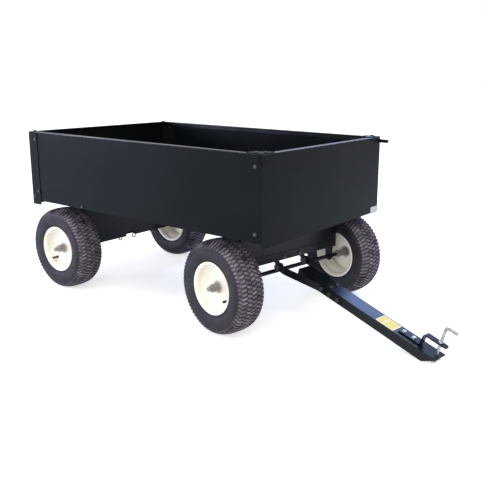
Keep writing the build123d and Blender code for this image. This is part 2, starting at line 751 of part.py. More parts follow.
top_bolt_places = corner_pair(top_bolt_spot, top_bolt_spacing / 2)
hitch_bolt_places = [(spot, 0.0) for spot in hitch_bolt_spots]
with BuildPart() as tongue_channel:
    with BuildSketch(front_plane(tongue_frame, channel_start)) as channel_section:
        Rectangle(channel_width, channel_height)
        fillet(channel_section.vertices().group_by(Axis(hinge_point, uphill))[-1], channel_corner)
        with Locations((0, -channel_wall)):
            Rectangle(channel_width - 2 * channel_wall, channel_height, mode=Mode.SUBTRACT)
    extrude(amount=channel_end - channel_start)
    with BuildSketch(tongue_side) as end_cut:
        with BuildLine():
            Polyline(
                (chamfer_start, -channel_height),
                (chamfer_start, -tongue_top),
                (channel_end, tongue_top - channel_wall),
                (channel_end, -channel_height),
                close=True,
            )
        make_face()
    extrude(end_cut.sketch, amount=channel_width, both=True, mode=Mode.SUBTRACT)
    round_holes(tongue_side, yoke_bolt_places, tongue_bolt_radius + hole_gap, channel_width)
    top_places = top_bolt_places + hitch_bolt_places
    round_holes(tongue_plan, top_places, tongue_bolt_radius + hole_gap, channel_height)
    round_holes(tongue_plan, [(pin_spot, 0)], pin_radius + hole_gap, channel_height)
tongue_channel.part.label = "tongue_channel"
export_step(tongue_channel.part, "parts/tongue_channel.step")

gusset_half = half_channel - channel_wall - hole_gap
gusset_top_w = tongue_top - channel_wall
with BuildPart() as yoke_gusset:
    with BuildSketch(flat_plane(tongue_frame, gusset_top_w)):
        with Locations((top_bolt_spot, 0)):
            Rectangle(2 * angle_leg, 2 * gusset_half)
        with Locations(*top_bolt_places):
            Circle(tongue_bolt_radius + hole_gap, mode=Mode.SUBTRACT)
    extrude(amount=-plate)
yoke_gusset.part.label = "yoke_gusset"
export_step(yoke_gusset.part, "parts/yoke_gusset.step")

strap_face = half_channel + strap_thickness
with BuildPart() as yoke_bolts:
    for side in (-1, 1):
        outward = tongue_frame.y_dir * side
        bolt_face = Plane(hinge_point + outward * strap_face, x_dir=downhill, z_dir=outward)
        bolts(bolt_face, yoke_bolt_places, tongue_bolt_radius, strap_thickness + channel_wall)
    bolts(flat_plane(tongue_frame, tongue_top), top_bolt_places, tongue_bolt_radius, channel_wall + plate)
yoke_bolts.part.label = "yoke_bolts"
export_step(yoke_bolts.part, "parts/yoke_bolts.step")

# ---------------------------------------------------------------- hitch
hitch_low = tongue_top + hitch_thickness / 2
hitch_high = tongue_top + hitch_gap + hitch_thickness / 2
with BuildPart() as hitch_strap:
    with BuildSketch(tongue_side) as hitch_section:
        with BuildLine() as hitch_bend:
            FilletPolyline(
                (hitch_start, hitch_low),
                (hitch_rise, hitch_low),
                (hitch_rise + hitch_thickness, hitch_high),
                (hitch_end, hitch_high),
                radius=1.5 * hitch_thickness,
            )
        trace(hitch_bend.line, line_width=hitch_thickness)
    extrude(hitch_section.sketch, amount=hitch_width / 2, both=True)
    end_face = hitch_strap.faces().sort_by(Axis(hinge_point, downhill))[-1]
    fillet(end_face.edges().sort_by(SortBy.LENGTH)[0:2], round_share * hitch_width / 2)
    round_holes(tongue_plan, hitch_bolt_places, tongue_bolt_radius + hole_gap, hitch_gap)
    round_holes(tongue_plan, [(pin_spot, 0)], pin_radius + hole_gap, 2 * hitch_gap)
hitch_strap.part.label = "hitch_strap"
export_step(hitch_strap.part, "parts/hitch_strap.step")

with BuildPart() as hitch_bolts:
    hitch_bolt_face = flat_plane(tongue_frame, tongue_top + hitch_thickness)
    bolts(hitch_bolt_face, hitch_bolt_places, tongue_bolt_radius, hitch_thickness + channel_wall)
hitch_bolts.part.label = "hitch_bolts"
export_step(hitch_bolts.part, "parts/hitch_bolts.step")

with BuildPart() as hitch_pin:
    with BuildLine(tongue_side) as pin_path:
        FilletPolyline(
            (pin_spot, -pin_below),
            (pin_spot, handle_height),
            (pin_spot + handle_length, handle_height),
            radius=pin_bend,
        )
    with BuildSketch(Plane(pin_path.line @ 0, z_dir=pin_path.line % 0)) as pin_section:
        Circle(pin_radius)
    sweep(pin_section.sketch, path=pin_path.line)
    collar_plane = flat_plane(tongue_frame, tongue_top + hitch_gap + hitch_thickness)
    with BuildSketch(collar_plane) as collar:
        with Locations((pin_spot, 0)):
            Circle(collar_share * pin_radius)
    extrude(collar.sketch, amount=strap_thickness)
    round_holes(tongue_side, [(pin_spot, clip_level)], clip_wire + nut_gap, 2 * pin_radius)
hitch_pin.part.label = "hitch_pin"
export_step(hitch_pin.part, "parts/hitch_pin.step")

clip_plane = flat_plane(tongue_frame, clip_level)
clip_side = pin_spot + pin_radius + clip_wire + nut_gap
with BuildPart() as hairpin_clip:
    with BuildLine(clip_plane) as clip_path:
        FilletPolyline(
            (pin_spot, clip_straight),
            (pin_spot, -clip_loop),
            (clip_side, -clip_loop),
            (clip_side, clip_grip),
            (clip_side + clip_flare, clip_end),
            radius=clip_bend,
        )
    with BuildSketch(Plane(clip_path.line @ 0, z_dir=clip_path.line % 0)) as clip_section:
        Circle(clip_wire)
    sweep(clip_section.sketch, path=clip_path.line)
hairpin_clip.part.label = "hairpin_clip"
export_step(hairpin_clip.part, "parts/hairpin_clip.step")

# ---------------------------------------------------------------- wheels
bead_half = rim_half_width - bead_inset
tread_half = tyre_width / 2 - shoulder_width
bulge_radius = (tyre_radius + rim_seat_radius) / 2
barrel_radius = rim_seat_radius - rim_sheet / 2
well_radius = rim_seat_radius - well_depth
lip_radius = rim_flange_radius - rim_sheet / 2
lip_bend = rim_flange_radius - rim_lip
lip_foot = rim_seat_radius + 1
valve_seat = rim_half_width - disc_hub_depth + valve_lift


def wheel_section(frame, side, turn):
    """Plane through a wheel's axis: x is the distance from the axis, y the distance outward.
    Its x direction, where the valve stands, is turned from forward towards up."""
    centre = frame.from_local_coords((0, side * half_track, axle_height))
    spoke = frame.x_dir * cos(radians(turn)) + Vector(0, 0, 1) * sin(radians(turn))
    return Plane(centre, x_dir=spoke, z_dir=spoke.cross(frame.y_dir * side))


def casing(radius, half, wall_half, base_radius, base_half):
    """A closed tyre outline, the same on both sides of the wheel's middle."""
    low = radius - shoulder_drop
    high = radius - shoulder_drop / 3
    wide = wall_half - shoulder_inset
    swell = half + shoulder_drop * shoulder_arc
    with BuildLine() as outline:
        Line((radius, -half), (radius, half))
        ThreePointArc((radius, half), (high, swell), (low, wide))
        ThreePointArc((low, wide), (bulge_radius, wall_half), (base_radius, base_half))
        Line((base_radius, base_half), (base_radius, -base_half))
        ThreePointArc((base_radius, -base_half), (bulge_radius, -wall_half), (low, -wide))
        ThreePointArc((low, -wide), (high, -swell), (radius, -half))
    return outline.line.edges()


for name, frame, side, turn in (
    ("front_right", steer_frame, -1, -33.0),
    ("front_left", steer_frame, 1, 60.0),
    ("rear_right", rear_frame, -1, -133.0),
    ("rear_left", rear_frame, 1, 140.0),
):
    section = wheel_section(frame, side, turn)
    spin_axis = Axis(section.origin, section.y_dir)

    with BuildPart() as tyre:
        with BuildSketch(section) as tyre_section:
            make_face(casing(tyre_radius, tread_half, tyre_width / 2, rim_seat_radius + nut_gap, bead_half))
            hollow = casing(
                tyre_radius - tyre_wall,
                tread_half - tyre_wall,
                tyre_width / 2 - tyre_wall,
                rim_seat_radius - tyre_wall,
                bead_half - tyre_wall,
            )
            make_face(hollow, mode=Mode.SUBTRACT)
        revolve(tyre_section.sketch, axis=spin_axis)
    tyre.part.label = f"tyre_{name}"
    export_step(tyre.part, f"parts/tyre_{name}.step")

    with BuildPart() as rim:
        with BuildSketch(section) as rim_profile:
            with BuildLine() as barrel:
                Polyline(
                    (lip_radius, rim_half_width + rim_sheet / 2),
                    (lip_bend, rim_half_width + rim_lip_swell),
                    (lip_foot, rim_half_width),
                    (barrel_radius, rim_half_width - rim_foot),
                    (barrel_radius, rim_half_width / 2),
                    (well_radius, rim_half_width / 4),
                    (well_radius, -rim_half_width / 4),
                    (barrel_radius, -rim_half_width / 2),
                    (barrel_radius, rim_foot - rim_half_width),
                    (lip_foot, -rim_half_width),
                    (lip_bend, -rim_half_width - rim_lip_swell),
                    (lip_radius, -rim_half_width - rim_sheet / 2),
                )
            trace(barrel.line, line_width=rim_sheet)
            with BuildLine() as disc:
                Polyline(
                    (barrel_radius, rim_half_width - disc_depth + disc_step),
                    (rim_seat_radius - disc_edge, rim_half_width - disc_depth),
                    (hub_radius + disc_root, rim_half_width - disc_hub_depth),
                    (hub_radius - 1, rim_half_width - disc_hub_depth + disc_rise),
                )
            trace(disc.line, line_width=rim_sheet)
            with Locations(((hub_radius + bush_radius) / 2, (hub_outer - hub_inner) / 2)):
                Rectangle(hub_radius - bush_radius, hub_outer + hub_inner)
        revolve(rim_profile.sketch, axis=spin_axis)
        valve_place = section.from_local_coords((valve_spot, 0, 0))
        with BuildSketch(Plane(valve_place, x_dir=section.x_dir, z_dir=section.y_dir)) as valve_hole:
            Circle(valve_radius + nut_gap)
        extrude(valve_hole.sketch, amount=rim_half_width, mode=Mode.SUBTRACT)
    rim.part.label = f"rim_{name}"
    export_step(rim.part, f"parts/rim_{name}.step")

    with BuildPart() as hub_bushes:
        with BuildSketch(section) as bush_section:
            bore = rod_radius + running_gap
            for start, step in ((hub_outer, -1), (-hub_inner, 1)):
                with Locations(((bore + bush_radius - nut_gap) / 2, start + step * bush_length / 2)):
                    Rectangle(bush_radius - nut_gap - bore, bush_length)
                with Locations(((bore + hub_radius) / 2, start - step * bush_flange / 2)):
                    Rectangle(hub_radius - bore, bush_flange)
        revolve(bush_section.sketch, axis=spin_axis)
    hub_bushes.part.label = f"hub_bushes_{name}"
    export_step(hub_bushes.part, f"parts/hub_bushes_{name}.step")

    with BuildPart() as valve_stem:
        stem_plane = Plane(valve_place, x_dir=section.x_dir, z_dir=section.y_dir)
        with BuildSketch(stem_plane.offset(valve_seat)) as stem:
            Circle(valve_radius)
        extrude(stem.sketch, amount=rim_half_width - valve_margin - valve_seat)
        with BuildSketch(stem_plane.offset(valve_seat)) as stem_foot:
            Circle(2 * valve_radius)
        extrude(stem_foot.sketch, amount=-valve_foot)
    valve_stem.part.label = f"valve_stem_{name}"
    export_step(valve_stem.part, f"parts/valve_stem_{name}.step")
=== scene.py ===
import json
from math import cos, pi, radians, sin, sqrt, tau

import bmesh
import bpy
from mathutils import Matrix, Vector

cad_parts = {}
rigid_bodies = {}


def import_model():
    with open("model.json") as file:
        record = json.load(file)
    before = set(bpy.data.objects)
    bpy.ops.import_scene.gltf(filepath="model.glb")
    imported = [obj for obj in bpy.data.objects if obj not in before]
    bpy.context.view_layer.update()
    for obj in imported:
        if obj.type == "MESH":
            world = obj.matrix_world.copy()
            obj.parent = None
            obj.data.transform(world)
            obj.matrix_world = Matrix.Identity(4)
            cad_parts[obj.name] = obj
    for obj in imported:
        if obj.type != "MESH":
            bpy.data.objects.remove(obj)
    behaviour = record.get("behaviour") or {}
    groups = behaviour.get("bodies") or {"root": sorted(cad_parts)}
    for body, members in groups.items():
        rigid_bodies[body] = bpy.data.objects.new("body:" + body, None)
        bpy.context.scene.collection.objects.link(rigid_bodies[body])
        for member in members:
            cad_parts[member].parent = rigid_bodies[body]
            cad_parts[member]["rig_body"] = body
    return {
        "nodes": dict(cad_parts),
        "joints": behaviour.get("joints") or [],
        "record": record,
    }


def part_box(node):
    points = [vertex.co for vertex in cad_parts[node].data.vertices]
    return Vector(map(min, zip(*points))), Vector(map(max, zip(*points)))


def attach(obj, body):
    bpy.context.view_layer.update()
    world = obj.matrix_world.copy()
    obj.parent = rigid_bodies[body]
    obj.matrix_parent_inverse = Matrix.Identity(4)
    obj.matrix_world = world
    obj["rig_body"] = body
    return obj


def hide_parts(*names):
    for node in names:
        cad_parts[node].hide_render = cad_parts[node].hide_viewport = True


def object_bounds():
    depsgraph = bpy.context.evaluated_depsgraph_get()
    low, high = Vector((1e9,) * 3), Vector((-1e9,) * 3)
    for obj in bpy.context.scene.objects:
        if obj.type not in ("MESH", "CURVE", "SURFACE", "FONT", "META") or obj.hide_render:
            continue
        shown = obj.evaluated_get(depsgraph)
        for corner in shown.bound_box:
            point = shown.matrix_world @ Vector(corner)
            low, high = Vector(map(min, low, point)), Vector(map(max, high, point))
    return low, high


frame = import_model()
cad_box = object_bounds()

# Four-wheel garden cart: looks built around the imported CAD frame. Metres, +X to the hitch, +Z up.
nodes = frame["nodes"]
joints = {joint["name"]: joint for joint in frame["joints"]}
slots = {row["node"]: row["material_slot"] for row in frame["record"]["subparts"]}
WHEELS = ("front_right", "front_left", "rear_right", "rear_left")
UP = Vector((0, 0, 1))


# ---------------------------------------------------------------- materials
class Paint:
    """A node material being put together around one Principled shader."""

    def __init__(self, name, color, roughness, **constants):
        self.material = bpy.data.materials.new(name)
        self.material.use_nodes = True
        self.nodes = self.material.node_tree.nodes
        self.links = self.material.node_tree.links
        self.shader = self.nodes["Principled BSDF"]
        self.shader.inputs["Base Color"].default_value = (*color, 1)
        self.shader.inputs["Roughness"].default_value = roughness
        for socket, value in constants.items():
            self.shader.inputs[socket.replace("_", " ")].default_value = value
        self.place = self.nodes.new("ShaderNodeTexCoord").outputs["Object"]
        self.height = None

    def noise(self, scale, detail, stretch=(1, 1, 1)):
        mapping = self.nodes.new("ShaderNodeMapping")
        mapping.inputs["Scale"].default_value = stretch
        self.links.new(self.place, mapping.inputs["Vector"])
        texture = self.nodes.new("ShaderNodeTexNoise")
        texture.inputs["Scale"].default_value = scale
        texture.inputs["Detail"].default_value = detail
        texture.inputs["Roughness"].default_value = 0.5
        self.links.new(mapping.outputs["Vector"], texture.inputs["Vector"])
        return texture.outputs["Fac"]

    def span(self, source, low, high, start=0.0, end=1.0):
        place = self.nodes.new("ShaderNodeMapRange")
        limits = {"From Min": low, "From Max": high, "To Min": start, "To Max": end}
        for socket, value in limits.items():
            place.inputs[socket].default_value = value
        self.links.new(source, place.inputs["Value"])
        return place.outputs["Result"]

    def mix(self, share, first, second):
        blend = self.nodes.new("ShaderNodeMix")
        blend.data_type = "RGBA"
        self.links.new(share, blend.inputs["Factor"])
        for socket, color in (("A", first), ("B", second)):
            spot = [s for s in blend.inputs if s.name == socket and s.type == "RGBA"][0]
            if isinstance(color, tuple):
                spot.default_value = (*color, 1)
            else:
                self.links.new(color, spot)
        return [s for s in blend.outputs if s.type == "RGBA"][0]

    def color(self, source):
        self.links.new(source, self.shader.inputs["Base Color"])

    def roughness(self, source):
        self.links.new(source, self.shader.inputs["Roughness"])

    def bump(self, source, strength, distance):
        bump = self.nodes.new("ShaderNodeBump")
        bump.inputs["Strength"].default_value = strength
        bump.inputs["Distance"].default_value = distance
        self.links.new(source, bump.inputs["Height"])
        if self.height is not None:
            self.links.new(self.height, bump.inputs["Normal"])
        self.height = bump.outputs["Normal"]
        self.links.new(self.height, self.shader.inputs["Normal"])


def powder_coat(name, color, dusty, roughness, specular):
    """Gloss black powder coat: faint orange peel, slow waviness of the sheet, and a film of dust."""
    paint = Paint(name, color, roughness, Specular_IOR_Level=specular)
    film = paint.span(paint.noise(2.2, 3.0, (1, 1, 1.6)), 0.42, 0.78)
    paint.color(paint.mix(film, color, dusty))
    drift = paint.noise(3.4, 3.0, (1, 1, 2.5))
    paint.roughness(paint.span(drift, 0.3, 0.75, roughness - 0.05, roughness + 0.09))
    paint.bump(paint.noise(1.3, 1.0), 0.18, 0.004)
    paint.bump(paint.noise(700.0, 1.0), 0.035, 0.0005)
    return paint.material


def plated(name, color, stain, roughness):
    """Zinc or bright steel: metal with a drawn grain and dull patches."""
    metal = Paint(name, color, roughness, Metallic=1.0)
    metal.color(metal.mix(metal.span(metal.noise(55.0, 5.0), 0.42, 0.7), color, stain))
    metal.roughness(metal.span(metal.noise(160.0, 3.0), 0.3, 0.7, roughness - 0.1, roughness + 0.15))
    metal.bump(metal.noise(900.0, 2.0), 0.12, 0.0003)
    return metal.material


def rubber(name, color, pale, roughness, grain, dust_and_top_light=None):
    """Tyre or valve rubber with a dusty bloom. Where a mesh carries a share per point, it also gets a pale
    colour that is partly dust and partly painted light: a painted highlight on the tread's block tops and
    painted shade down their sides into the grooves.
    """
    skin = Paint(name, color, roughness, Specular_IOR_Level=0.42)
    bloom = skin.mix(skin.span(skin.noise(11.0, 6.0), 0.4, 0.72), color, pale)
    # Painted light: the pale colour is full on the block tops and fainter low down, giving a painted
    # highlight on the tops and painted shade in the grooves over a dust tone.
    if dust_and_top_light is not None:
        dust_and_light_share = skin.nodes.new("ShaderNodeAttribute")
        dust_and_light_share.attribute_name = "dust_and_light_share"
        dusty_top_light = skin.mix(skin.span(skin.noise(26.0, 5.0), 0.35, 0.7), dust_and_top_light, pale)
        bloom = skin.mix(dust_and_light_share.outputs["Fac"], bloom, dusty_top_light)
    skin.color(bloom)
    skin.roughness(skin.span(skin.noise(30.0, 4.0), 0.3, 0.7, roughness - 0.08, roughness + 0.1))
    skin.bump(skin.noise(grain, 3.0), 0.2, 0.0006)
    return skin.material


def enamel(name, color, shade, grease):
    """Cream gloss enamel, duller in patches, with a brown film round the wheel's hub."""
    coat = Paint(name, color, 0.3, Specular_IOR_Level=0.5, Coat_Weight=0.25, Coat_Roughness=0.12)
    clean = coat.mix(coat.span(coat.noise(9.0, 5.0), 0.45, 0.8), color, shade)
    flat = coat.nodes.new("ShaderNodeVectorMath")
    flat.operation = "MULTIPLY"
    flat.inputs[1].default_value = (1, 1, 0)
    coat.links.new(coat.place, flat.inputs[0])
    away = coat.nodes.new("ShaderNodeVectorMath")
    away.operation = "LENGTH"
    coat.links.new(flat.outputs["Vector"], away.inputs[0])
    coat.color(coat.mix(coat.span(away.outputs["Value"], 0.034, 0.0178, 0.0, 0.85), clean, grease))
    coat.roughness(coat.span(coat.noise(24.0, 4.0), 0.3, 0.75, 0.24, 0.42))
    coat.bump(coat.noise(300.0, 1.0), 0.05, 0.0006)
    return coat.material


def bare_ended(name, middle, reach, paint_color, steel_color):
    """Axle bar that is painted black, and bare steel beyond a distance from its middle."""
    bar = Paint(name, paint_color, 0.34, Specular_IOR_Level=0.35)
    away = bar.nodes.new("ShaderNodeVectorMath")
    away.operation = "DISTANCE"
    away.inputs[1].default_value = middle
    bar.links.new(bar.place, away.inputs[0])
    bare = bar.span(away.outputs["Value"], reach - 0.002, reach + 0.002)
    grain = bar.mix(bar.span(bar.noise(55.0, 5.0), 0.42, 0.7), steel_color, (0.16, 0.14, 0.12))
    bar.color(bar.mix(bare, paint_color, grain))
    bar.links.new(bare, bar.shader.inputs["Metallic"])
    bar.roughness(bar.span(bar.noise(90.0, 3.0), 0.3, 0.7, 0.3, 0.46))
    bar.bump(bar.noise(700.0, 2.0), 0.08, 0.0004)
    return bar.material


def label_stock(name, color, shade):
    """Printed vinyl without any print."""
    vinyl = Paint(name, color, 0.6, Specular_IOR_Level=0.15)
    vinyl.color(vinyl.mix(vinyl.span(vinyl.noise(120.0, 4.0), 0.45, 0.75), color, shade))
    vinyl.bump(vinyl.noise(420.0, 2.0), 0.08, 0.0004)
    return vinyl.material


MATERIALS = {
    "black_steel": powder_coat(
        "black_powder_coat", (0.0040, 0.0056, 0.0066), (0.0060, 0.0080, 0.0096), 0.33, 0.09
    ),
    "black_frame": powder_coat(
        "black_frame_coat", (0.0045, 0.0058, 0.0078), (0.0085, 0.0102, 0.0130), 0.30, 0.30
    ),
    "zinc": plated("zinc_plate", (0.60, 0.60, 0.57), (0.36, 0.35, 0.31), 0.34),
    "axle_steel": plated("axle_bar", (0.34, 0.34, 0.35), (0.16, 0.14, 0.12), 0.38),
    # The tyre's last colour is the pale tread tone: partly dust, partly a painted highlight on the block
    # tops.
    "tyre_rubber": rubber(
        "turf_tyre_rubber", (0.012, 0.012, 0.016), (0.026, 0.023, 0.032), 0.58, 240.0, (0.225, 0.185, 0.225)
    ),
    "cream_paint": enamel("cream_enamel", (0.90, 0.88, 0.76), (0.84, 0.79, 0.66), (0.08, 0.06, 0.045)),
    "grey_bush": rubber("grey_bush_nylon", (0.13, 0.13, 0.12), (0.22, 0.21, 0.20), 0.42, 400.0),
    "black_rubber": rubber("valve_rubber", (0.010, 0.010, 0.011), (0.022, 0.022, 0.023), 0.5, 500.0),
}
DARK_PLATE = plated("dull_plate", (0.11, 0.11, 0.11), (0.07, 0.065, 0.06), 0.42)
YELLOW = label_stock("yellow_vinyl", (0.82, 0.74, 0.22), (0.72, 0.66, 0.30))
PALE_YELLOW = label_stock("pale_yellow_vinyl", (0.86, 0.84, 0.58), (0.78, 0.75, 0.50))
GREY_VINYL = label_stock("grey_vinyl", (0.60, 0.61, 0.65), (0.48, 0.49, 0.53))


# ---------------------------------------------------------------- mesh helpers
def finish_piece(name, mesh, material, body, replaced=(), smooth=True, place=None):
    """Makes the object, puts it in the row frame and lets it ride on its body."""
    if isinstance(mesh, bmesh.types.BMesh):
        data = bpy.data.meshes.new(name)
        bmesh.ops.recalc_face_normals(mesh, faces=mesh.faces)
        mesh.to_mesh(data)
        mesh.free()
        for face in data.polygons:
            face.use_smooth = smooth
        if material is not None:
            data.materials.append(material)
    else:
        data = mesh
    piece = bpy.data.objects.new(name, data)
    bpy.context.scene.collection.objects.link(piece)
    if place is not None:
        piece.matrix_world = place
    if replaced:
        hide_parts(*replaced)
    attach(piece, body)
    return piece


def even_normals(piece):
    """Keeps big faces flat and rounds the shading of narrow bevels."""
    piece.data.set_sharp_from_angle(angle=radians(38))
    weighted = piece.modifiers.new("weighted", "WEIGHTED_NORMAL")
    weighted.keep_sharp = True
    weighted.weight = 80


def ring_solid(mesh, rings, closed=False):
    """Joins rings of points into one closed surface: end caps, or the last ring back to the first."""
    made = [[mesh.verts.new(point) for point in ring] for ring in rings]
    pairs = list(zip(made, made[1:]))
    if closed:
        pairs.append((made[-1], made[0]))
    for low, high in pairs:
        count = len(low)
        for i in range(count):
            j = (i + 1) % count
            mesh.faces.new((low[i], low[j], high[j], high[i]))
    if not closed:
        mesh.faces.new(list(reversed(made[0])))
        mesh.faces.new(made[-1])
    return made


def round_ring(radius, height, count=24):
    """Points on a circle about the local Z axis."""
    turns = [tau * i / count for i in range(count)]
    return [Vector((radius * cos(turn), radius * sin(turn), height)) for turn in turns]


def lathe(mesh, profile, steps, closed=True):
    """Turns a profile of (distance from the axis, height) about the local Z axis."""
    return ring_solid(mesh, [round_ring(r, z, steps) for r, z in profile], closed)


def through(t, before, start, end, after):
    """One coordinate of a curve that runs from start to end between its outer neighbours."""
    slope = end - before
    bend = 2 * before - 5 * start + 4 * end - after
    twist = 3 * start - before - 3 * end + after
    return 0.5 * (2 * start + slope * t + bend * t * t + twist * t**3)


def smooth_line(points, steps):
    """A curve through all the points."""
    last = len(points) - 1
    line = []
    for i in range(last):
        near = [points[min(max(i + k, 0), last)] for k in (-1, 0, 1, 2)]
        for j in range(steps):
            line.append(tuple(through(j / steps, *values) for values in zip(*near)))
    line.append(tuple(points[-1]))
    return line


def tube(mesh, points, radius, sides=12):
    """A round bar along points."""
    points = [Vector(point) for point in points]
    turns = [tau * k / sides for k in range(sides)]
    across = None
    rings = []
    for i, point in enumerate(points):
        ahead = (points[min(i + 1, len(points) - 1)] - points[max(i - 1, 0)]).normalized()
        if across is None:
            across = ahead.orthogonal().normalized()
        across = (across - ahead * across.dot(ahead)).normalized()
        other = ahead.cross(across)
        rings.append([point + (across * cos(turn) + other * sin(turn)) * radius for turn in turns])
    ring_solid(mesh, rings)


def axes_matrix(origin, x, y, z):
    """Matrix that puts local axes at a place in the row frame."""
    matrix = Matrix((x, y, z)).transposed().to_4x4()
    matrix.translation = origin
    return matrix


# ---------------------------------------------------------------- steel pieces with rounded edges
SHARP_TURN = radians(28)


def softened(name, width):
    """A copy of a CAD node with its sharp edges rounded, which stands for the node."""
    source = nodes[name]
    mesh = bmesh.new()
    mesh.from_mesh(source.data)
    bmesh.ops.remove_doubles(mesh, verts=mesh.verts, dist=1e-6)
    bmesh.ops.dissolve_limit(mesh, angle_limit=radians(1), verts=mesh.verts, edges=mesh.edges)
    sharp = [edge for edge in mesh.edges if edge.is_manifold and edge.calc_face_angle(0) > SHARP_TURN]
    bmesh.ops.bevel(
        mesh,
        geom=sharp,
        offset=width,
        offset_type="OFFSET",
        segments=2,
        profile=0.5,
        affect="EDGES",
        clamp_overlap=False,
    )
    slot = slots[name]
    material = OWN_LOOKS.get(name, MATERIALS[slot])
    piece = finish_piece(name + "_look", mesh, material, source["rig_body"], (name,))
    even_normals(piece)


RAIL_COAT = powder_coat("rail_coat", (0.0060, 0.0075, 0.0090), (0.0100, 0.0120, 0.0140), 0.22, 0.75)
OWN_LOOKS = {
    "axle_loops": MATERIALS["black_frame"],
    "side_rails": RAIL_COAT,
    "front_rail": RAIL_COAT,
    "gate_guides": RAIL_COAT,
}
BARE_END = 0.03
for rod, side in (("rear_axle_rod", "rear"), ("front_axle_rod", "front")):
    ends = [Vector(joints[f"spin_{side}_{hand}"]["pos_m"]) for hand in ("right", "left")]
    rod_middle = (ends[0] + ends[1]) / 2
    rod_reach = (ends[0] - rod_middle).length - BARE_END
    OWN_LOOKS[rod] = bare_ended(
        rod + "_paint", rod_middle, rod_reach, (0.006, 0.007, 0.008), (0.34, 0.34, 0.35)
    )
SOFT_EDGES = {
    0.0007: ("floor_pan", "side_panel_right", "side_panel_left", "front_panel", "tailgate", "gate_guides"),
    0.0009: ("side_rails", "front_rail", "corner_gussets", "rear_posts", "frame_rails", "yoke_gusset"),
    0.0012: ("rear_axle_support", "front_support", "front_beam")
    + ("axle_hangers", "tongue_lugs", "yoke_straps"),
    0.0013: ("tongue_channel", "hitch_strap", "turntable_upper", "turntable_lower", "hitch_pin"),
    0.0010: ("rear_axle_rod", "front_axle_rod", "kingpin", "kingpin_nut"),
    0.0003: ("tie_down_pegs",),
    0.0004: ("rear_washers", "front_washers", "axle_loops")
    + tuple("hub_bushes_" + wheel for wheel in WHEELS),
}
for soft_width, soft_names in SOFT_EDGES.items():
    for soft_name in soft_names:
        softened(soft_name, soft_width)


# ---------------------------------------------------------------- fasteners
def solids(name):
    """The points of each separate solid of a CAD node."""
    mesh = bmesh.new()
    mesh.from_mesh(nodes[name].data)
    bmesh.ops.remove_doubles(mesh, verts=mesh.verts, dist=1e-6)
    found, seen = [], set()
    for start in mesh.verts:
        if start.index in seen:
            continue
        seen.add(start.index)
        group, waiting = [], [start]
        while waiting:
            vert = waiting.pop()
            group.append(vert.co.copy())
            for edge in vert.link_edges:
                other = edge.other_vert(vert)
                if other.index not in seen:
                    seen.add(other.index)
                    waiting.append(other)
        found.append(group)
    mesh.free()
    return found


def hex_ring(flat, corner_share, height, dip=0.0, count=24):
    """Points round a hexagon whose corners reach corner_share of the full corner, and dip below the flats."""
    ring = []
    for i in range(count):
        angle = tau * i / count
        off = (angle + pi / 6) % (pi / 3) - pi / 6
        reach = flat / cos(pi / 6 - abs(off))
        share = 1 - abs(off) / (pi / 6)
        radius = min(reach, flat + (flat / cos(pi / 6) - flat) * corner_share)
        ring.append(Vector((radius * cos(angle), radius * sin(angle), height - dip * share)))
    return ring


def detailed_bolt(mesh, place, radius, flat, head, length):
    """Hex head with a chamfered crown and washer face; a shank that ends in cut thread."""
    pitch = radius * 0.3
    rings = [round_ring(radius * 0.7, -length)]
    for k in range(7):
        rings.append(round_ring(radius * (0.86 if k % 2 else 0.99), -length + pitch * (0.4 + k / 2)))
    rings.append(round_ring(radius * 0.99, -length + pitch * 4.2))
    rings.append(round_ring(radius * 0.99, -radius * 0.05))
    rings.append(round_ring(flat * 1.22, 0))
    rings.append(round_ring(flat * 1.22, head * 0.14))
    rings.append(round_ring(flat * 1.02, head * 0.22))
    rings.append(hex_ring(flat * 0.99, 0.96, head * 0.24))
    rings.append(hex_ring(flat * 0.99, 0.96, head * 0.93, head * 0.18))
    rings.append(round_ring(flat * 0.93, head * 0.99))
    rings.append(round_ring(flat * 0.6, head))
    ring_solid(mesh, [[place @ point for point in ring] for ring in rings])


def detailed_nut(mesh, place, radius, flat, height):
    """Hex nut with both faces chamfered and a through hole."""
    half = height / 2
    rings = [
        round_ring(radius * 1.03, -half),
        round_ring(flat * 0.92, -half),
        hex_ring(flat * 0.99, 0.95, -half * 0.94 + half * 0.3, half * 0.3),
        hex_ring(flat * 0.99, 0.95, half * 0.94, half * 0.3),
        round_ring(flat * 0.92, half),
        round_ring(radius * 1.03, half),
    ]
    ring_solid(mesh, [[place @ point for point in ring] for ring in rings], closed=True)


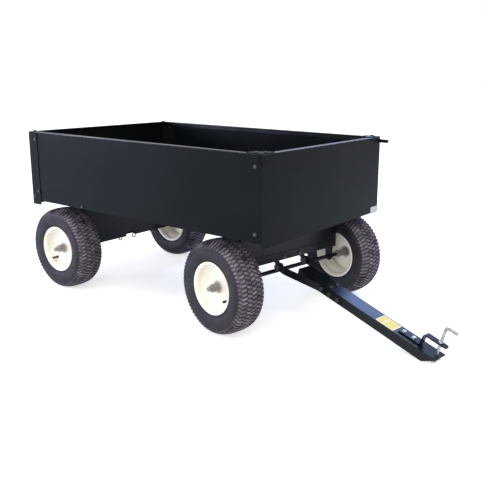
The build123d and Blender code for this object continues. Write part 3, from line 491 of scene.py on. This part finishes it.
def detailed_fasteners(name, axes, material):
    """Rebuilds each bolt and nut of a node in place, from its own extents along the given axes."""
    mesh = bmesh.new()
    for points in solids(name):
        local = [Vector(axis.dot(point) for axis in axes) for point in points]
        low = [min(point[i] for point in local) for i in range(3)]
        high = [max(point[i] for point in local) for i in range(3)]
        size = [h - l for l, h in zip(low, high)]
        misfit = []
        for i in range(3):
            wide = sorted(size[k] for k in range(3) if k != i)
            misfit.append(abs(wide[1] / wide[0] - 2 / sqrt(3)))
        along = misfit.index(min(misfit))
        flat = min(size[k] for k in range(3) if k != along) / 2
        corner_axis = max((k for k in range(3) if k != along), key=lambda k: size[k])
        radius = flat / 1.7
        centre = [(l + h) / 2 for l, h in zip(low, high)]
        z = axes[along]
        x = axes[corner_axis]
        if size[along] < 1.5 * flat:
            middle = sum((axes[i] * centre[i] for i in range(3)), Vector())
            detailed_nut(mesh, axes_matrix(middle, x, z.cross(x), z), radius, flat, size[along])
            continue
        near_high = [p for p in local if p[along] > high[along] - 1e-5]
        spread = max(abs(p[k] - centre[k]) for p in near_high for k in range(3) if k != along)
        if spread < 1.3 * radius:
            z = -z
        head = radius * 1.3
        end = high[along] if z == axes[along] else -low[along]
        centre[along] = (end - head) * (1 if z == axes[along] else -1)
        middle = sum((axes[i] * centre[i] for i in range(3)), Vector())
        detailed_bolt(mesh, axes_matrix(middle, x, z.cross(x), z), radius, flat, head, size[along] - head)
    piece = finish_piece(name + "_look", mesh, material, nodes[name]["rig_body"], (name,))
    even_normals(piece)


world_axes = (Vector((1, 0, 0)), Vector((0, 1, 0)), UP)
left = -Vector(joints["tongue_lift"]["axis"])
forward = left.cross(UP)
tongue_up = Vector(joints["hitch_pin_lift"]["axis"])
tongue_along = left.cross(tongue_up)
hinge = Vector(joints["tongue_lift"]["pos_m"])
steer_axes = (forward, left, UP)
tongue_axes = (tongue_along, left, tongue_up)
tongue_place = axes_matrix(hinge, *tongue_axes)

for fastener, fastener_axes, fastener_look in (
    ("panel_bolts", world_axes, DARK_PLATE),
    ("gate_bolts", world_axes, DARK_PLATE),
    ("beam_bolts", steer_axes, DARK_PLATE),
    ("hinge_bolts", steer_axes, DARK_PLATE),
    ("yoke_bolts", tongue_axes, DARK_PLATE),
    ("hitch_bolts", tongue_axes, MATERIALS["zinc"]),
):
    detailed_fasteners(fastener, fastener_axes, fastener_look)


# ---------------------------------------------------------------- wheels
tyre_low, tyre_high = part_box("tyre_rear_right")
tyre_radius = (tyre_high.z - tyre_low.z) / 2
tyre_half = (tyre_high.y - tyre_low.y) / 2
TYRE_STEPS = 160
BLOCK_HEIGHT = 0.0055
BLOCK_WIDTH = 0.0216
BLOCK_THICKNESS = 0.0108
BLOCK_WAVE = 0.0030
BLOCK_STATIONS = 9
ROW_SPACING = 0.0240
NIB_OFFSET = 0.0655
PITCHES = 68
# Share of the pale tread colour in the grooves and on the tread band's casing: dust there, kept low as
# painted shade between the blocks.
GROOVE_DUST_AND_SHADE = 0.32
TREAD_DEPTH = 0.024

# Half outline of the casing under the tread: distance out from the wheel's middle, distance in from the tread
CASING = (
    (0.0, 0.0),
    (0.016, 0.0003),
    (0.032, 0.0016),
    (0.046, 0.0048),
    (0.057, 0.0105),
    (0.0645, 0.0185),
    (0.0690, 0.0290),
    (0.0708, 0.0300),
    (0.0716, 0.0325),
    (0.0712, 0.0345),
    (0.0722, 0.0440),
    (0.0712, 0.0560),
    (0.0672, 0.0690),
    (0.0605, 0.0795),
    (0.0560, 0.0835),
    (0.0562, 0.0850),
    (0.0540, 0.0865),
    (0.0505, 0.0900),
    (0.0490, 0.0955),
)


def casing_line():
    """The casing's outline from the inner bead over the tread to the outer bead, as (out, from axis)."""
    top = tyre_radius - BLOCK_HEIGHT
    half = smooth_line([(out, top - inward) for out, inward in CASING], 5)
    return [(-out, high) for out, high in reversed(half[1:])] + half


def tyre_mesh():
    """A turf tyre: casing with bead and sidewall ribs, and rows of waved blocks over tread and shoulders."""
    mesh = bmesh.new()
    line = casing_line()
    inner = [(line[-1][0] * 0.94, line[-1][1]), (tyre_half * 0.8, tyre_radius * 0.72)]
    inner += [(tyre_half * 0.72, tyre_radius * 0.86), (0.0, tyre_radius * 0.93)]
    inner += [(-out, high) for out, high in reversed(inner[:3])]
    dust_and_light_share = mesh.verts.layers.float.new("dust_and_light_share")
    lathe(mesh, [(high, out) for out, high in line + inner], TYRE_STEPS)
    # Casing points in the tread band get the groove share of the pale colour: dust, and painted shade in the
    # grooves between the blocks.
    for vert in mesh.verts:
        if vert.co.xy.length > tyre_radius - TREAD_DEPTH:
            vert[dust_and_light_share] = GROOVE_DUST_AND_SHADE

    lengths = [0.0]
    for (a, b), (c, d) in zip(line, line[1:]):
        lengths.append(lengths[-1] + sqrt((c - a) ** 2 + (d - b) ** 2))
    crown = lengths[-1] / 2

    def spot(angle, across, height):
        reach = min(max(crown + across, 0.0), lengths[-1] - 1e-6)
        i = max(k for k in range(len(lengths) - 1) if lengths[k] <= reach)
        share = (reach - lengths[i]) / (lengths[i + 1] - lengths[i])
        (a, b), (c, d) = line[i], line[i + 1]
        size = sqrt((c - a) ** 2 + (d - b) ** 2)
        normal = ((b - d) / size, (c - a) / size)
        out = a + (c - a) * share + normal[0] * height
        high = b + (d - b) * share + normal[1] * height
        return Vector((high * cos(angle), high * sin(angle), out))

    def block(turn, middle, width, wave, thick, height):
        """One waved block: a bar across the tread whose two ends are shifted opposite ways round."""
        rings = []
        for inset, level in ((0.0, -0.001), (0.0, height * 0.72), (0.0009, height)):
            front, back = [], []
            for k in range(BLOCK_STATIONS):
                share = 2 * k / (BLOCK_STATIONS - 1) - 1
                across = middle + share * (width / 2 - inset)
                shift = wave * sin(share * pi / 2) ** 3
                swell = thick / 2 * (1 - 0.16 * share * share) - inset
                front.append(spot(turn + (shift + swell) / tyre_radius, across, level))
                back.append(spot(turn + (shift - swell) / tyre_radius, across, level))
            rings.append((front, back))
        made = [[[mesh.verts.new(point) for point in edge] for edge in ring] for ring in rings]
        # Block rings from foot to top: painted shade at the foot in the groove, growing to a painted
        # highlight on the block's top.
        for (front, back), share in zip(made, (GROOVE_DUST_AND_SHADE, 0.5, 1.0)):
            for vert in front + back:
                vert[dust_and_light_share] = share
        for (low_f, low_b), (high_f, high_b) in zip(made, made[1:]):
            loop_low = low_f + low_b[::-1]
            loop_high = high_f + high_b[::-1]
            for i in range(len(loop_low)):
                j = (i + 1) % len(loop_low)
                mesh.faces.new((loop_low[i], loop_low[j], loop_high[j], loop_high[i]))
        for level, flip in ((0, True), (-1, False)):
            front, back = made[level]
            for k in range(BLOCK_STATIONS - 1):
                face = (front[k], front[k + 1], back[k + 1], back[k])
                mesh.faces.new(face[::-1] if flip else face)

    step = tau / PITCHES
    for pitch in range(PITCHES):
        turn = pitch * step
        for row in (-2, -1, 0, 1, 2):
            wave = BLOCK_WAVE if row % 2 else -BLOCK_WAVE
            shift = step / 2 if row % 2 else 0.0
            block(turn + shift, row * ROW_SPACING, BLOCK_WIDTH, wave, BLOCK_THICKNESS, BLOCK_HEIGHT)
        for side in (-1, 1):
            block(turn + step / 4, side * NIB_OFFSET, 0.0150, side * 0.0016, 0.0082, BLOCK_HEIGHT * 0.45)
    return mesh


def shell(points, thickness):
    """A closed profile of even thickness around an open line."""
    outer, inner = [], []
    for i, (a, b) in enumerate(points):
        c, d = points[min(i + 1, len(points) - 1)]
        e, f = points[max(i - 1, 0)]
        size = sqrt((c - e) ** 2 + (d - f) ** 2) or 1.0
        normal = (-(d - f) / size * thickness / 2, (c - e) / size * thickness / 2)
        outer.append((a + normal[0], b + normal[1]))
        inner.append((a - normal[0], b - normal[1]))
    return outer + inner[::-1]


rim_low, rim_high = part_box("rim_rear_right")
rim_flange = (rim_high.z - rim_low.z) / 2
rim_half = (rim_high.y - rim_low.y) / 2
bush_low, bush_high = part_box("hub_bushes_rear_right")
hub_radius = (bush_high.z - bush_low.z) / 2
spin_rear = Vector(joints["spin_rear_right"]["pos_m"])
hub_out = spin_rear.y - bush_low.y - 0.0026
hub_in = bush_high.y - spin_rear.y - 0.0026
RIM_SHEET = 0.0025
stem_low, stem_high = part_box("valve_stem_rear_right")
valve_length = stem_high.y - stem_low.y


def rim_mesh():
    """A pressed rim: rolled lips, bead seats and a well, with a dished disc welded to the hub tube."""
    mesh = bmesh.new()
    flange = rim_flange - RIM_SHEET / 2
    half = rim_half - RIM_SHEET / 2
    seat = flange - 0.0125
    well = seat - 0.0105
    lip = [
        (flange - 0.0035, half - 0.0030),
        (flange - 0.0006, half - 0.0016),
        (flange - 0.0010, half),
        (flange - 0.0045, half + 0.0002),
        (flange - 0.0088, half - 0.0016),
        (seat + 0.0006, half - 0.0062),
        (seat - 0.0010, half - 0.0130),
        (seat - 0.0012, half * 0.52),
        (well + 0.0010, half * 0.30),
        (well, half * 0.20),
    ]
    line = lip + [(r, -z) for r, z in reversed(lip)]
    lathe(mesh, shell(smooth_line(line, 4), RIM_SHEET), 120)
    disc = [
        (seat - 0.0030, half - 0.0240),
        (seat - 0.0052, half - 0.0300),
        (seat - 0.0100, half - 0.0352),
        (seat - 0.0300, half - 0.0385),
        (hub_radius + 0.0260, half - 0.0415),
        (hub_radius + 0.0120, half - 0.0412),
        (hub_radius + 0.0052, half - 0.0375),
        (hub_radius + 0.0006, half - 0.0352),
    ]
    lathe(mesh, shell(smooth_line(disc, 4), RIM_SHEET), 96)
    bore = hub_radius - 0.0040
    tube_line = [
        (bore, -hub_in),
        (hub_radius - 0.0010, -hub_in),
        (hub_radius, -hub_in + 0.0010),
        (hub_radius, hub_out - 0.0010),
        (hub_radius - 0.0010, hub_out),
        (bore, hub_out),
    ]
    lathe(mesh, tube_line, 64)
    for foot, reach in ((half - 0.0335, 0.0024), (half - 0.0395, 0.0020)):
        rings = []
        for i in range(96):
            turn = tau * i / 96
            swell = reach * (1 + 0.16 * sin(turn * 23) + 0.10 * sin(turn * 41 + 1))
            centre = Vector(((hub_radius + 0.0006) * cos(turn), (hub_radius + 0.0006) * sin(turn), foot))
            radial = Vector((cos(turn), sin(turn), 0))
            bead = [tau * k / 8 for k in range(8)]
            rings.append([centre + (radial * cos(edge) + UP * sin(edge)) * swell for edge in bead])
        ring_solid(mesh, rings, closed=True)
    return mesh


def valve_mesh():
    """A snap-in valve: grommet bulb, tapered stem and ribbed cap, from the disc outward."""
    mesh = bmesh.new()
    length = valve_length
    foot = (stem_high.x - stem_low.x) / 2
    stem = foot * 0.64
    profile = [
        (foot * 0.9, 0.0),
        (foot, 0.0010),
        (foot * 0.96, 0.0034),
        (stem * 1.5, 0.0046),
        (stem * 1.45, 0.0072),
        (stem * 1.02, 0.0092),
        (stem * 0.92, length * 0.45),
        (stem * 0.80, length * 0.64),
        (stem * 0.66, length * 0.66),
        (stem * 0.66, length * 0.70),
        (stem * 0.98, length * 0.705),
        (stem, length * 0.73),
        (stem * 0.98, length * 0.95),
        (stem * 0.74, length * 0.995),
        (stem * 0.3, length),
    ]
    made = lathe(mesh, profile, 24, closed=False)
    for ring in made[10:13]:
        centre = sum((vert.co for vert in ring), Vector()) / len(ring)
        for i, vert in enumerate(ring):
            if i % 2:
                vert.co = centre + (vert.co - centre) * 0.93
    return mesh


def nipple_mesh():
    """A grease nipple with a hex base and a waisted ball end."""
    mesh = bmesh.new()
    rings = [
        hex_ring(0.0034, 0.95, 0.0),
        hex_ring(0.0034, 0.95, 0.0032),
        round_ring(0.0030, 0.0036),
        round_ring(0.0019, 0.0046),
        round_ring(0.0019, 0.0058),
        round_ring(0.0029, 0.0072),
        round_ring(0.0030, 0.0084),
        round_ring(0.0022, 0.0096),
        round_ring(0.0008, 0.0101),
    ]
    ring_solid(mesh, rings)
    return mesh


def cotter_mesh(radius, eye_side):
    """A split pin: round eye on top and two legs, one of them bent round the rod."""
    mesh = bmesh.new()
    wire = radius * 0.42
    eye = radius * 2.0
    top = rod_radius + radius * 2.0
    loop = []
    for i in range(15):
        turn = pi * (-0.36 + 1.72 * i / 14)
        loop.append((eye_side * eye * cos(turn), 0.0, top + eye * 0.9 + eye * sin(turn)))
    for offset, bend in ((wire, 1), (-wire, -1)):
        leg = eye_side * offset * 0.9
        shaft = [(leg, 0.0, top), (leg, 0.0, -rod_radius - radius * 0.4)]
        reach = radius * (3.4 if bend > 0 else 2.4)
        shaft += [(bend * radius * 1.1, 0.0, -rod_radius - radius * 1.5)]
        shaft += [(bend * reach, 0.0, -rod_radius - radius * 1.9)]
        tube(mesh, smooth_line(shaft, 5), wire, 8)
    ends = [(eye_side * wire, 0.0, top - wire), *loop, (-eye_side * wire, 0.0, top - wire)]
    tube(mesh, smooth_line(ends, 2), wire, 8)
    return mesh


rod_low, rod_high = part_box("rear_axle_rod")
rod_radius = (rod_high.z - rod_low.z) / 2
pin_low, pin_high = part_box("rear_cotter_pins")
cotter_radius = 0.0022
cotter_reach = (pin_high.y - pin_low.y) / 2 - cotter_radius * 3.2

shared = {
    "tyre": (tyre_mesh, "tyre_rubber"),
    "rim": (rim_mesh, "cream_paint"),
    "valve_stem": (valve_mesh, "black_rubber"),
    "grease_nipple": (nipple_mesh, "zinc"),
}
made_meshes = {}
for part, (maker, slot_name) in shared.items():
    mesh = maker()
    data = bpy.data.meshes.new(part + "_shape")
    bmesh.ops.recalc_face_normals(mesh, faces=mesh.faces)
    mesh.to_mesh(data)
    mesh.free()
    for face in data.polygons:
        face.use_smooth = True
    data.set_sharp_from_angle(angle=radians(34))
    data.materials.append(MATERIALS[slot_name])
    made_meshes[part] = data

NIPPLE_TURN = radians(205)
NIPPLE_SINK = 0.001
NIPPLE_BACK = 0.012
for wheel in WHEELS:
    centre = Vector(joints["spin_" + wheel]["pos_m"])
    spin = Vector(joints["spin_" + wheel]["axis"])
    outward = spin if "left" in wheel else -spin
    valve_low, valve_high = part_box("valve_stem_" + wheel)
    valve_middle = (valve_low + valve_high) / 2
    spoke = valve_middle - centre
    valve_out = spoke.dot(outward)
    spoke -= outward * valve_out
    valve_reach = spoke.length
    spoke.normalize()
    place = axes_matrix(centre, UP, outward.cross(UP), outward)
    spoke_place = axes_matrix(centre, spoke, outward.cross(spoke), outward)
    body = "wheel_" + wheel
    valve_place = spoke_place @ Matrix.Translation((valve_reach, 0, valve_out - valve_length / 2))
    nipple_spot = Matrix.Translation((hub_radius - NIPPLE_SINK, 0, hub_out - NIPPLE_BACK))
    nipple_turn = Matrix.Rotation(NIPPLE_TURN, 4, "Z") @ nipple_spot
    nipple_place = spoke_place @ nipple_turn @ Matrix.Rotation(radians(90), 4, "Y")
    for part, where, replaced in (
        ("tyre", place, ("tyre_" + wheel,)),
        ("rim", place, ("rim_" + wheel,)),
        ("valve_stem", valve_place, ("valve_stem_" + wheel,)),
        ("grease_nipple", nipple_place, ()),
    ):
        name = f"{part}_{wheel}_look"
        finish_piece(name, made_meshes[part], None, body, replaced, place=where)

for end, body, spin_name in (("rear", "bed", "spin_rear_left"), ("front", "front_axle", "spin_front_left")):
    spin = Vector(joints[spin_name]["axis"])
    middle = Vector(joints[spin_name]["pos_m"])
    other = Vector(joints[spin_name.replace("left", "right")]["pos_m"])
    middle = (middle + other) / 2
    mesh = bmesh.new()
    for side in (-1, 1):
        one = cotter_mesh(cotter_radius, side)
        one.transform(axes_matrix(middle + spin * side * cotter_reach, spin.cross(UP), spin, UP))
        carrier = bpy.data.meshes.new("cotter")
        one.to_mesh(carrier)
        one.free()
        mesh.from_mesh(carrier)
        bpy.data.meshes.remove(carrier)
    finish_piece(f"{end}_cotter_pins_look", mesh, MATERIALS["zinc"], body, (f"{end}_cotter_pins",))


# ---------------------------------------------------------------- hairpin clip, labels
clip_points = solids("hairpin_clip")[0]
clip_local = [tongue_place.inverted() @ point for point in clip_points]
clip_wire = 0.0016
clip_level = (min(p.z for p in clip_local) + max(p.z for p in clip_local)) / 2
clip_back = min(p.x for p in clip_local) + clip_wire
clip_low = min(p.y for p in clip_local) + clip_wire
clip_high = max(p.y for p in clip_local) - clip_wire
CLIP_GAP = 0.0083
clip_side = clip_back + CLIP_GAP
# The clip is one bent wire in the tongue's own frame: straight leg, round end, waved leg
mesh = bmesh.new()
path = [
    (clip_back, clip_high - 0.006),
    (clip_back, 0.004),
    (clip_back, -0.012),
    (clip_back - 0.0006, clip_low + 0.006),
    (clip_back + 0.0012, clip_low + 0.0012),
    (clip_back + 0.0045, clip_low),
    (clip_side - 0.0008, clip_low + 0.002),
    (clip_side + 0.0012, clip_low + 0.007),
    (clip_side + 0.0004, -0.012),
    (clip_side, -0.007),
    (clip_side + 0.0006, 0.0),
    (clip_side, 0.007),
    (clip_side - 0.0004, 0.012),
    (clip_side + 0.0028, clip_high),
]
tube(mesh, [tongue_place @ Vector((x, y, clip_level)) for x, y in smooth_line(path, 6)], clip_wire, 12)
finish_piece("hairpin_clip_look", mesh, MATERIALS["zinc"], "hairpin_clip", ("hairpin_clip",))


def sticker(name, place, width, height, material, body, slot, thickness=0.0004, corner=0.004):
    """A thin label with rounded corners, lying on its surface in the local XY plane."""
    mesh = bmesh.new()
    outline = []
    for x, y, start in ((1, 1, 0), (-1, 1, 1), (-1, -1, 2), (1, -1, 3)):
        for k in range(5):
            turn = (start + k / 4) * pi / 2
            edge_x = x * (width / 2 - corner) + corner * cos(turn)
            edge_y = y * (height / 2 - corner) + corner * sin(turn)
            outline.append((edge_x, edge_y))
    rings = [[Vector((x, y, level)) for x, y in outline] for level in (0.0, thickness * 0.8)]
    rings.append([Vector((x * 0.995, y * 0.995, thickness)) for x, y in outline])
    ring_solid(mesh, rings)
    return finish_piece(name, mesh, material, body, smooth=False, place=place)


channel_local = [tongue_place.inverted() @ vert.co for vert in nodes["tongue_channel"].data.vertices]
tongue_top = max(point.z for point in channel_local)
LABEL_START, LABEL_END, LABEL_RIGHT, LABEL_LEFT = 0.517, 0.608, -0.033, 0.031
label_size = (LABEL_END - LABEL_START, LABEL_LEFT - LABEL_RIGHT)
label_middle = ((LABEL_START + LABEL_END) / 2, (LABEL_LEFT + LABEL_RIGHT) / 2)
label_place = tongue_place @ Matrix.Translation((label_middle[0], label_middle[1], tongue_top))
sticker("tongue_label", label_place, *label_size, PALE_YELLOW, "tongue", "black_frame")
for tab, start, size in (("header", -0.30, 0.26), ("field", 0.16, 0.52)):
    tab_place = label_place @ Matrix.Translation((start * label_size[0], 0.0, 0.0004))
    sticker(
        "tongue_label_" + tab,
        tab_place,
        size * label_size[0],
        label_size[1] * 0.84,
        YELLOW,
        "tongue",
        "black_frame",
        0.0002,
        0.002,
    )

panel_low, panel_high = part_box("front_panel")
sticker_size = (0.062, 0.027)
sticker_middle = Vector((panel_high.x, panel_high.y - 0.036, panel_low.z + 0.0165))
sticker_place = axes_matrix(sticker_middle, Vector((0, 1, 0)), UP, Vector((1, 0, 0)))
sticker("front_label", sticker_place, *sticker_size, GREY_VINYL, "bed", "black_steel", 0.0004, 0.002)


# ---------------------------------------------------------------- floor, lights, camera
floor_paint = Paint("studio_floor", (0.86, 0.86, 0.86), 0.75, Specular_IOR_Level=0.1)
floor_paint.shader.inputs["Emission Color"].default_value = (1, 1, 1, 1)
# The floor is lifted to white where the camera sees it, and lights the cart much less
floor_seen = floor_paint.nodes.new("ShaderNodeLightPath").outputs["Is Camera Ray"]
floor_lift = floor_paint.span(floor_seen, 0.0, 1.0, 0.05, 0.62)
floor_paint.links.new(floor_lift, floor_paint.shader.inputs["Emission Strength"])
floor_mesh = bmesh.new()
bmesh.ops.create_circle(floor_mesh, cap_ends=True, segments=96, radius=60.0)
floor_data = bpy.data.meshes.new("floor")
floor_mesh.to_mesh(floor_data)
floor_mesh.free()
floor_data.materials.append(floor_paint.material)
floor = bpy.data.objects.new("floor", floor_data)
bpy.context.scene.collection.objects.link(floor)
floor.location.z = cad_box[0].z - 0.0005

world = bpy.data.worlds.new("studio")
bpy.context.scene.world = world
world.use_nodes = True
tree = world.node_tree
background = tree.nodes["Background"]
background.inputs["Color"].default_value = (0.93, 0.96, 1.0, 1)
background.inputs["Strength"].default_value = 0.60
paper = tree.nodes.new("ShaderNodeBackground")
paper.inputs["Color"].default_value = (1, 1, 1, 1)
seen = tree.nodes.new("ShaderNodeLightPath")
choose = tree.nodes.new("ShaderNodeMixShader")
tree.links.new(seen.outputs["Is Camera Ray"], choose.inputs["Fac"])
tree.links.new(background.outputs["Background"], choose.inputs[1])
tree.links.new(paper.outputs["Background"], choose.inputs[2])
tree.links.new(choose.outputs["Shader"], tree.nodes["World Output"].inputs["Surface"])


def lamp(name, kind, energy, color, place, aim, size):
    """A soft light at a place, turned to a point."""
    data = bpy.data.lights.new(name, kind)
    data.energy = energy
    data.color = color
    if kind == "AREA":
        data.shape = "DISK"
        data.size = size
    else:
        data.angle = size
    light = bpy.data.objects.new(name, data)
    bpy.context.scene.collection.objects.link(light)
    light.location = place
    light.rotation_euler = (Vector(aim) - Vector(place)).to_track_quat("-Z", "Y").to_euler()
    light.visible_camera = False
    return light


lamp("sky_key", "SUN", 1.35, (1.0, 0.99, 0.97), (1.6, -2.2, 5.5), (0, 0, 0), radians(50))
lamp("rear_glow", "AREA", 80.0, (0.62, 0.64, 1.0), (-3.7, -2.9, 1.35), (-0.9, -0.45, 0.65), 1.1)
lamp("wheel_fill", "AREA", 75.0, (1.0, 0.99, 0.96), (2.2, -4.4, 1.9), (-0.2, -0.4, 0.25), 2.4)
lamp("tongue_sky", "AREA", 120.0, (0.30, 0.46, 1.0), (-0.9, 4.2, 3.4), (0.6, 0.0, 0.2), 2.6)

bed_front = panel_high.x
EYE_AHEAD, EYE_SIDE, EYE_HEIGHT = 1.4814, -2.4044, 1.0816
SENSOR_WIDTH, LENS_LENGTH = 36.0, 49.15
SHIFT_ACROSS, SHIFT_UP = -0.0626, -0.0364
FAR_CLIP = 200.0
eye = Vector((bed_front + EYE_AHEAD, EYE_SIDE, EYE_HEIGHT))
azimuth, pitch, roll = radians(126.41), radians(13.0), radians(0.54)
look = Vector((cos(pitch) * cos(azimuth), cos(pitch) * sin(azimuth), -sin(pitch)))
right = look.cross(UP).normalized()
above = right.cross(look)
camera_x = right * cos(roll) + above * sin(roll)
camera_y = above * cos(roll) - right * sin(roll)
camera_data = bpy.data.cameras.new("camera")
camera = bpy.data.objects.new("camera", camera_data)
bpy.context.scene.collection.objects.link(camera)
camera.matrix_world = axes_matrix(eye, camera_x, camera_y, -look)
camera_data.sensor_width = SENSOR_WIDTH
camera_data.lens = LENS_LENGTH
camera_data.shift_x = SHIFT_ACROSS
camera_data.shift_y = SHIFT_UP
camera_data.clip_end = FAR_CLIP
bpy.context.scene.camera = camera
bpy.context.scene.view_settings.view_transform = "Standard"
